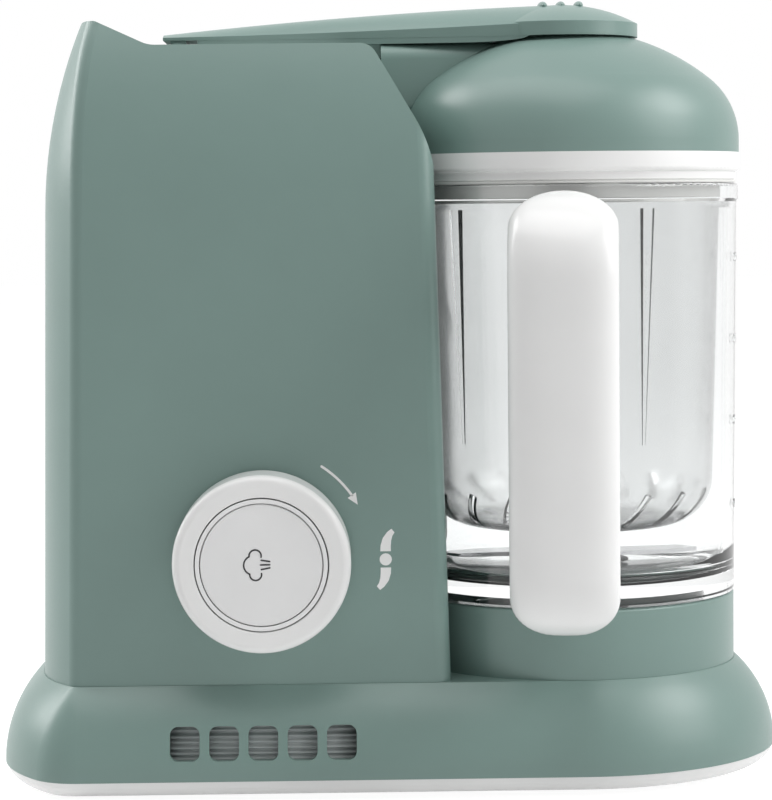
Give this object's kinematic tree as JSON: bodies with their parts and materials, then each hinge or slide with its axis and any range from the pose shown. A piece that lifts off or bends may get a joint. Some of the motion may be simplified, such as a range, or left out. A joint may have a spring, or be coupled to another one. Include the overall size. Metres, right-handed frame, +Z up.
{
  "type": "baby food maker",
  "caption": "Countertop baby food steamer and blender: drafted tower with boiler and knob, clear handled jar with steam basket and blade on a flared base, hinged domed lid.",
  "frame": {"origin": "middle of the bounding box in plan, on the table under the rubber feet", "axes": "+Z up, +X from the tower towards the jar, +Y away from the user, so the knob and the handle face -Y"},
  "size_m": [0.2584, 0.1666, 0.255],
  "materials": {
    "sage_plastic": "satin",
    "white_plastic": "gloss",
    "button_plastic": "satin",
    "clear_plastic": "gloss",
    "milky_plastic": "gloss",
    "lens": "satin",
    "grey_plastic": "matte",
    "dark_plastic": "satin",
    "white_silicone": "matte",
    "black_rubber": "matte",
    "steel": "brushed",
    "blade_steel": "polished",
    "zinc_steel": "satin",
    "laminations": "satin",
    "copper": "satin",
    "bronze": "satin",
    "aluminium": "satin",
    "circuit_board": "satin",
    "carbon": "matte"
  },
  "bodies": {
    "housing": {"base_cover": "sage_plastic", "base_tray": "white_plastic", "rubber_feet": "black_rubber", "tray_screws": "zinc_steel", "vent_louvre": "grey_plastic", "tower_front_cover": "sage_plastic", "tower_rear_cover": "sage_plastic", "grip_insert": "sage_plastic", "cord_gland": "dark_plastic", "top_deck": "sage_plastic", "hinge_pin": "steel", "boiler_bowl": "steel", "steam_outlet": "milky_plastic", "heating_element": "aluminium", "thermostat": "dark_plastic", "knob_core": "white_plastic", "light_ring": "lens", "control_board": "circuit_board", "button_switch": "dark_plastic", "motor_mount": "grey_plastic", "motor_lower_frame": "zinc_steel", "motor_upper_frame": "zinc_steel", "motor_stator": "laminations", "field_coils": "copper", "motor_bushes": "bronze", "carbon_brushes": "carbon", "drive_belt": "black_rubber", "jar_seat": "sage_plastic", "spindle_housing": "grey_plastic", "spindle_bushes": "bronze"},
    "lid": {"lid_dome": "sage_plastic", "lid_rim": "white_plastic", "lid_seal": "white_silicone", "steam_bridge": "sage_plastic", "lid_arm": "sage_plastic", "tank_plug": "white_plastic", "tank_seal": "white_silicone"},
    "jar": {"jar": "clear_plastic", "jar_bush": "bronze", "jar_handle": "white_plastic"},
    "basket": {"steam_basket": "milky_plastic"},
    "knob": {"knob_ring": "white_plastic"},
    "button": {"steam_button": "button_plastic"},
    "rotor": {"motor_shaft": "steel", "armature": "laminations", "commutator": "copper", "cooling_fan": "dark_plastic", "motor_pulley": "grey_plastic"},
    "blade_drive": {"driven_pulley": "grey_plastic", "drive_shaft": "steel", "drive_dog": "white_plastic", "blade_hub": "dark_plastic", "chopping_blade": "blade_steel", "blade_spindle": "steel", "spindle_coupler": "dark_plastic"}
  },
  "joints": [
    {"name": "lid_hinge", "type": "hinge", "parent": "housing", "child": "lid", "pos_m": [-0.06835, 0.01477, 0.2386], "axis": [0, -1, 0], "range_deg": [0, 80]},
    {"name": "jar_twist", "type": "hinge", "parent": "housing", "child": "jar", "pos_m": [0.06065, 0.01477, 0.0586], "axis": [0, 0, 1], "range_deg": [0, 40]},
    {"name": "basket_turn", "type": "hinge", "parent": "jar", "child": "basket", "pos_m": [0.06065, 0.01477, 0.186], "axis": [0, 0, 1], "continuous": true},
    {"name": "knob_turn", "type": "hinge", "parent": "housing", "child": "knob", "pos_m": [-0.04125, -0.04043, 0.0764], "axis": [0, 1, 0], "range_deg": [0, 40], "stiffness_Nm_per_rad": 0.05},
    {"name": "button_press", "type": "slide", "parent": "housing", "child": "button", "axis": [0, 1, 0], "range_m": [0, 0.0015], "stiffness_N_per_m": 600},
    {"name": "rotor_spin", "type": "hinge", "parent": "housing", "child": "rotor", "pos_m": [-0.06135, 0.02877, 0.06], "axis": [0, 0, 1], "continuous": true},
    {"name": "blade_spin", "type": "hinge", "parent": "housing", "child": "blade_drive", "pos_m": [0.06065, 0.01477, 0.06], "axis": [0, 0, 1], "continuous": true}
  ],
  "couplings": [
    {"joint": "blade_spin", "follows": "rotor_spin", "ratio": 0.34615}
  ]
}
